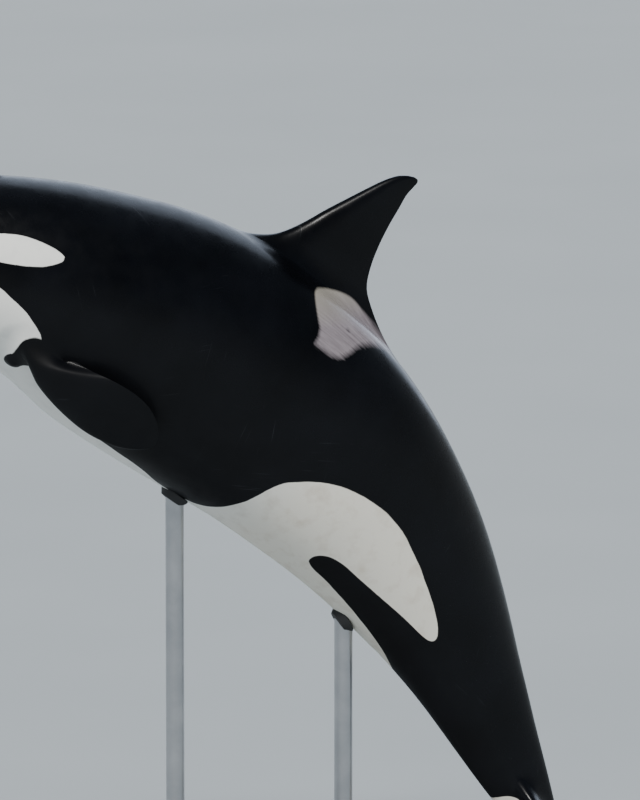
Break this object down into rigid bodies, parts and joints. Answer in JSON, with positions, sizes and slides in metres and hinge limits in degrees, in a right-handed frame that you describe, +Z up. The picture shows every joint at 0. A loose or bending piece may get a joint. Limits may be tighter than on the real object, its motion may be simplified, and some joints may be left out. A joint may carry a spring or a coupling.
{
  "type": "orca",
  "caption": "Life-size still orca arched in a low leap, with falcate dorsal fin, swept flippers and flukes, held by two rods on a flat display base.",
  "frame": {"origin": "centre of the stand base's underside, on the floor", "axes": "+Z up, the head towards -X, the animal's left side towards -Y; the XZ plane is its plane of symmetry"},
  "size_m": [4.6235, 2.2, 4.8119],
  "materials": {
    "skin": "wet black skin, with white throat, eye patch and flank patch and a grey saddle patch",
    "eye": "wet dark brown",
    "base": "matt grey",
    "rod": "satin"
  },
  "bodies": {
    "root": {"head": "skin", "lower_jaw": "skin", "chest": "skin", "torso": "skin", "loin": "skin", "tail_stock": "skin", "dorsal_fin": "skin", "eye_left": "eye", "eye_right": "eye", "flipper_left": "skin", "flipper_right": "skin", "fluke_left": "skin", "fluke_right": "skin", "stand_base": "base", "stand_flange_front": "rod", "stand_flange_rear": "rod", "stand_rod_front": "rod", "stand_rod_rear": "rod"}
  },
  "joints": []
}
